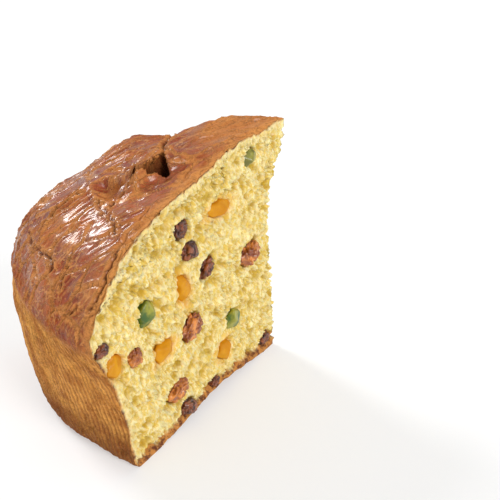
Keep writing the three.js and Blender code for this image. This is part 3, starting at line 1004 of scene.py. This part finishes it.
def crustMaterial():
    # matt where the gloss mask is 0, and a thin clear coat over darker sugar where it is 1
    material, tree, shader = startMaterial("glossy_baked_crust")
    bake = newNode(tree, "ShaderNodeAttribute", (-900, 0), attribute_name="bake")
    crust = newNode(tree, "ShaderNodeGroup", (-600, 200))
    crust.node_tree = bakedCrust
    flow = newNode(tree, "ShaderNodeUVMap", (-900, 300), uv_map="flow")
    for source, name in ((bake.outputs["Color"], "Masks"), (bake.outputs["Alpha"], "Dome"),
                         (flow.outputs["UV"], "Flow")):
        tree.links.new(source, crust.inputs[name])
    tree.links.new(crust.outputs["Colour"], shader.inputs["Base Color"])
    rough = rampNode(tree, crust.outputs["Gloss"], 0.0, 1.0, crustFinish["mattRoughness"],
                     crustFinish["glossRoughness"])
    tree.links.new(rough, shader.inputs["Roughness"])
    coat = maths(tree, "MULTIPLY", crust.outputs["Gloss"], crustFinish["coat"])
    tree.links.new(coat, shader.inputs["Coat Weight"])
    shader.inputs["Coat Roughness"].default_value = crustFinish["coatRoughness"]
    shader.inputs["Specular IOR Level"].default_value = crustFinish["shine"]
    bumpInto(tree, crust.outputs["Height"], crustFinish["bump"], crustFinish["bumpDistance"],
             shader)
    return material


crumbColours = {
    "shred": srgb(253, 236, 178),
    "yellow": srgb(230, 196, 88),
    # hollow: the olive of painted shade in hollows and pores
    "hollow": srgb(198, 160, 32),
    "warm": srgb(232, 172, 84),
    "cream": srgb(246, 228, 172),
    "toast": srgb(200, 134, 60),
    "burnt": srgb(106, 52, 20),
    "syrup": srgb(240, 176, 74),
}
crumbGrain = {
    # scale, detail, roughness, then the noise levels where the mask starts and is full
    "broad": (60.0, 3.0, 0.55, 0.4, 0.68),
    "fine": (700.0, 4.0, 0.65, 0.44, 0.58),
    "paintedPoreShade": (380.0, 4.0, 0.65, 0.57, 0.68),
    "warm": (190.0, 3.0, 0.6, 0.54, 0.7),
    "crumbly": (330.0, 5.0, 0.65, 0.44, 0.62),
    "pull": 0.45,               # the fibres are drawn out by one over this
    "slant": 0.35,              # and turned this far, in radians
}
crumbFinish = {
    "roughness": 0.8,
    "glow": 0.25,               # share of light that goes through the crumb
    "glowReach": 0.002,
    "bump": 0.7,
    "bumpDistance": 0.0009,
}


def crumbMaterial():
    # pale shreds over yellow, painted olive shade in the hollows and pores and painted light on
    # raised shreds, toasted towards the crust
    material, tree, shader = startMaterial("open_yellow_crumb")
    bake = newNode(tree, "ShaderNodeAttribute", (-900, 0), attribute_name="bake")
    where = newNode(tree, "ShaderNodeTexCoord", (-900, -400)).outputs["Object"]
    isCrust, depth, nearCrust = bakedMasks(tree, bake.outputs["Color"])
    flow = newNode(tree, "ShaderNodeUVMap", (-900, 300), uv_map="flow")
    pulled = newNode(tree, "ShaderNodeMapping", (-700, 300))
    for name, value in (("Scale", (1.0, crumbGrain["pull"], 1.0)),
                        ("Rotation", (0.0, 0.0, crumbGrain["slant"])),
                        ("Vector", flow.outputs["UV"])):
        connect(tree, value, pulled.inputs[name])
    pulled = pulled.outputs[0]
    broad, warm, crumbly = (noiseMask(tree, where, crumbGrain[name])
                            for name in ("broad", "warm", "crumbly"))
    fine = noiseMask(tree, pulled, crumbGrain["fine"], 0.8)
    # painted shade: olive blotches for small pores that the surface doesn't have
    paintedPoreShade = noiseMask(tree, where, crumbGrain["paintedPoreShade"], 0.6)
    fibres = lineNode(tree, noiseNode(tree, pulled, 420.0, 4.0, 0.6, 1.0), 0.04)
    # painted light on raised crumb and painted shade on deep crumb, both from the depth value
    paintedLightOnRaised = rampNode(tree, depth, crumb["evenDepth"], 0.0)
    deep = rampNode(tree, depth, crumb["evenDepth"], 0.95)
    of = crumbColours
    colour = layerColours(tree, mixColour(tree, fine, of["yellow"], of["shred"]), (
        (broad, 0.3, of["yellow"]), (warm, 0.3, of["warm"]), (paintedPoreShade, 0.4, of["hollow"]),
        (fibres, 0.6, of["shred"]), (nearCrust, 0.7, of["cream"]), (paintedLightOnRaised, 0.7, of["shred"]),
        (deep, 0.85, of["hollow"]), (bake.outputs["Alpha"], 0.45, of["syrup"])))
    crust = mixColour(tree, crumbly, of["toast"], of["burnt"])
    colour = mixColour(tree, isCrust, colour, crust)
    tree.links.new(colour, shader.inputs["Base Color"])
    shader.inputs["Roughness"].default_value = crumbFinish["roughness"]
    shader.inputs["Subsurface Weight"].default_value = crumbFinish["glow"]
    shader.inputs["Subsurface Radius"].default_value = (1.0, 0.7, 0.3)
    shader.inputs["Subsurface Scale"].default_value = crumbFinish["glowReach"]
    rough = maths(tree, "MULTIPLY", noiseNode(tree, pulled, 700.0, 5.0, 0.7), 0.6)
    rough = maths(tree, "ADD", rough, maths(tree, "MULTIPLY", fibres, 0.35))
    bumpInto(tree, rough, crumbFinish["bump"], crumbFinish["bumpDistance"], shader)
    return material


crustLook, crumbLook = crustMaterial(), crumbMaterial()
allPoints = np.concatenate(poolPoints)
allValues = np.concatenate(poolValues)
allFaces = [face for faces, _ in faceSets for face in faces]
faceLook = np.concatenate([np.full(len(faces), look) for faces, look in faceSets])
# vertices shared by crust and cut are laid flat one way for the crust and another for the cut
onCrust = np.concatenate(poolFlow)
onCut = onCrust.copy()
onCrust[frontBorder] = skinFlow(half, rowShares)
onCut[skinIds[0]] = laidFlat(allPoints[skinIds[0]], backOut)
loaf = buildMesh("baked_loaf", allPoints, allFaces, [crustLook, crumbLook], faceLook, allValues,
                 (onCrust, onCut))
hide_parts("loaf")
print("loaf:", len(allPoints), "points,", sum(len(f) - 2 for f in allFaces), "triangles")


# raisins and candied peel

raisins = {
    "around": 72,
    "along": 44,
    "folds": 0.2,
    "creases": 0.28,
    "creaseWidth": 0.15,
    "plump": 1.05,
}
peel = {
    "around": 64,
    "along": 40,
    "sides": 11,                # flat cut faces of a candied cube
    "sharpness": 14,
    "dents": 0.04,
    "plump": 1.12,              # how far the cubes swell past the solid's
}
glazeRoughness = 0.12


def ballGrid(around, along):
    # directions on a ball, one closed column after another, and the faces between them
    turn = np.arange(around) / around * 2 * math.pi
    lift = np.linspace(-math.pi / 2, math.pi / 2, along + 1)
    level = np.cos(lift)
    level[[0, -1]] = 0.0
    grid = np.stack([np.cos(turn)[:, None] * level, np.sin(lift) + 0 * turn[:, None],
                     np.sin(turn)[:, None] * level], -1)
    ids = np.zeros((around + 1, along + 1), int)
    ids[:-1, 1:-1] = np.arange(around * (along - 1)).reshape(around, along - 1)
    ids[-1] = ids[0]
    ids[:, 0], ids[:, -1] = around * (along - 1), around * (along - 1) + 1
    points = np.concatenate([grid[:, 1:-1].reshape(-1, 3), grid[0, [0, -1]]])
    return points, quilt(ids, {"j0": ids[:, 0], "j1": ids[:, -1]}, True)


def raisinShape(direction, seed):
    # a ball whose skin has sunk into soft folds and thin creases along its length
    long = direction * np.array([1.0, 0.6, 1.0])
    folds = layered(long, 0.6, seed, 2)
    crease = bell(waves(long, 0.5, seed + 3), 0.0, raisins["creaseWidth"])
    small = bell(waves(long, 0.22, seed + 5), 0.0, 0.2)
    size = 1.0 + raisins["folds"] * folds - raisins["creases"] * crease - 0.05 * small
    return direction * size[:, None]


def peelShape(direction, seed):
    # flat faces set round a ball by the golden angle, each at its own distance: the surface is
    # where the nearest face is met, with soft edges between faces
    number = np.arange(peel["sides"])
    level = 1 - 2 * (number + 0.5) / peel["sides"]
    turn = number * math.pi * (3 - math.sqrt(5)) + seed
    flat = np.sqrt(1 - level ** 2)
    facing = np.stack([flat * np.cos(turn), level, flat * np.sin(turn)], -1)
    distance = 0.74 + 0.16 * steadyRandom(number[:, None], seed)
    met = np.clip(direction @ facing.T, 0, 1) / distance
    size = np.sum(met ** peel["sharpness"], -1) ** (-1 / peel["sharpness"])
    size = size * (1 + peel["dents"] * layered(direction, 0.7, seed, 3))
    return direction * size[:, None]


def fruitMaterial(name, deep, light, roughness, glow, reach, grain, shine, glaze):
    # two colours in blotches of a given grain, a glossy skin, and light going a little way in
    material, tree, shader = startMaterial(name)
    where = newNode(tree, "ShaderNodeTexCoord", (-900, -400)).outputs["Object"]
    blotch = rampNode(tree, noiseNode(tree, where, grain, 4.0, 0.6), 0.38, 0.66)
    tree.links.new(mixColour(tree, blotch, deep, light), shader.inputs["Base Color"])
    uneven = noiseNode(tree, where, grain * 2.3, 3.0)
    rough = rampNode(tree, uneven, 0.3, 0.7, roughness, roughness + 0.3)
    tree.links.new(rough, shader.inputs["Roughness"])
    shader.inputs["Subsurface Weight"].default_value = glow
    shader.inputs["Subsurface Radius"].default_value = (1.0, 0.5, 0.2)
    shader.inputs["Subsurface Scale"].default_value = reach
    shader.inputs["Specular IOR Level"].default_value = shine
    shader.inputs["Coat Weight"].default_value = glaze
    shader.inputs["Coat Roughness"].default_value = glazeRoughness
    bumpInto(tree, noiseNode(tree, where, grain * 4.0, 4.0), 0.35, 0.0005, shader)
    return material


# roughness, light let through and how far, grain of the blotches, shine, syrup glaze
fruitLooks = {
    "dark": fruitMaterial("dark_raisin_skin", srgb(62, 18, 6), srgb(150, 76, 30),
                          0.3, 0.1, 0.001, 300.0, 0.4, 0.7),
    "brown": fruitMaterial("amber_raisin_skin", srgb(128, 56, 18), srgb(228, 144, 60),
                           0.3, 0.2, 0.0015, 220.0, 0.4, 0.7),
    "orange": fruitMaterial("candied_orange_peel", srgb(198, 128, 2), srgb(214, 150, 8),
                            0.5, 0.05, 0.002, 140.0, 0.25, 0.1),
    "citron": fruitMaterial("candied_citron_peel", srgb(54, 90, 14), srgb(154, 150, 34),
                            0.3, 0.2, 0.002, 150.0, 0.4, 0.5),
    "olive": fruitMaterial("candied_olive_citron_peel", srgb(104, 104, 24), srgb(176, 168, 62),
                           0.3, 0.2, 0.002, 150.0, 0.4, 0.6),
}
oliveOnes = ("candied_citron_top", "candied_citron_back_2")
amberOnes = ("raisin_round", "raisin_glossy", "raisin_small", "raisin_low", "raisin_back_2",
             "raisin_back_4")

for number, name in enumerate(fruit):
    isRaisin = name.startswith("raisin")
    settings, shapeOf = (raisins, raisinShape) if isRaisin else (peel, peelShape)
    direction, faces = ballGrid(settings["around"], settings["along"])
    points = shapeOf(direction, 400 + 37 * number)
    points = points / np.abs(points).max(0) * (np.array(fruit[name][0]) / 2) * settings["plump"]
    middle, first, second, out = fruitSeat(name)
    points = middle + points @ np.stack([first, second, out])
    kind = "brown" if name in amberOnes else "dark" if isRaisin else name.split("_")[1]
    look = "olive" if name in oliveOnes else kind
    ending = "_wrinkled" if isRaisin else "_cube"
    piece = buildMesh(name + ending, points, faces, [fruitLooks[look]])
    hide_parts(name)
print("fruit:", len(fruit), "pieces")


# floor, light and camera

studio = {
    "floorSize": 6.0,           # metres from the middle to each side
    "floorTone": 0.56,
    "floorGlow": 0.43,          # keeps it near white beyond the shadows
    "skyStrength": 0.6,
    # each light: the direction it comes from, its width in degrees and its strength
    "lights": {
        "window": ((-0.34, 0.85, 0.74), 17.0, 1.5),
        "fill": ((0.3, -0.95, 0.6), 22.0, 1.5),
    },
    # camera: place in mm from the foot of the edge where the cuts meet, then degrees
    "cameraPlace": (-143.0, -258.0, 198.0),
    "heading": 63.0,
    "tilt": 26.5,
    "roll": -1.0,
    "lens": 52.0,
}
reach = studio["floorSize"]
floorMesh = bpy.data.meshes.new("floor")
corners = [(-reach, -reach, 0), (reach, -reach, 0), (reach, reach, 0), (-reach, reach, 0)]
floorMesh.from_pydata(corners, [], [(0, 1, 2, 3)])
floor = bpy.data.objects.new("floor", floorMesh)
bpy.context.scene.collection.objects.link(floor)
floorLook, tree, shader = startMaterial("pale_floor")
shader.inputs["Base Color"].default_value = (studio["floorTone"],) * 3 + (1.0,)
shader.inputs["Roughness"].default_value = 0.8
shader.inputs["Emission Color"].default_value = (1.0, 1.0, 1.0, 1.0)
shader.inputs["Emission Strength"].default_value = studio["floorGlow"]
floorMesh.materials.append(floorLook)

world = bpy.data.worlds.new("studio")
world.use_nodes = True
sky = world.node_tree.nodes["Background"]
sky.inputs["Color"].default_value = (1.0, 1.0, 1.0, 1.0)
sky.inputs["Strength"].default_value = studio["skyStrength"]
bpy.context.scene.world = world
bpy.context.scene.view_settings.view_transform = "Standard"

for name, (direction, width, strength) in studio["lights"].items():
    lamp = bpy.data.lights.new(name, "SUN")
    lamp.angle, lamp.energy = math.radians(width), strength
    holder = bpy.data.objects.new(name, lamp)
    holder.rotation_euler = Vector(direction).to_track_quat("Z", "Y").to_euler()
    bpy.context.scene.collection.objects.link(holder)

# the camera looks along its heading, tilted down, and is rolled about that line
heading, tilt, roll = (math.radians(studio[k]) for k in ("heading", "tilt", "roll"))
forward = Vector((math.cos(heading) * math.cos(tilt), math.sin(heading) * math.cos(tilt),
                  -math.sin(tilt)))
right = Vector((math.sin(heading), -math.cos(heading), 0))
upward = right.cross(forward)
rightRolled = right * math.cos(roll) + upward * math.sin(roll)
upRolled = upward * math.cos(roll) - right * math.sin(roll)
camera = bpy.data.objects.new("camera", bpy.data.cameras.new("camera"))
camera.data.lens = studio["lens"]
camera.data.sensor_width = 36.0
stance = Matrix((rightRolled, upRolled, -forward)).transposed().to_4x4()
stance.translation = Vector(((np.array(studio["cameraPlace"]) + shift) / perMetre).tolist())
camera.matrix_world = stance
bpy.context.scene.collection.objects.link(camera)
bpy.context.scene.camera = camera
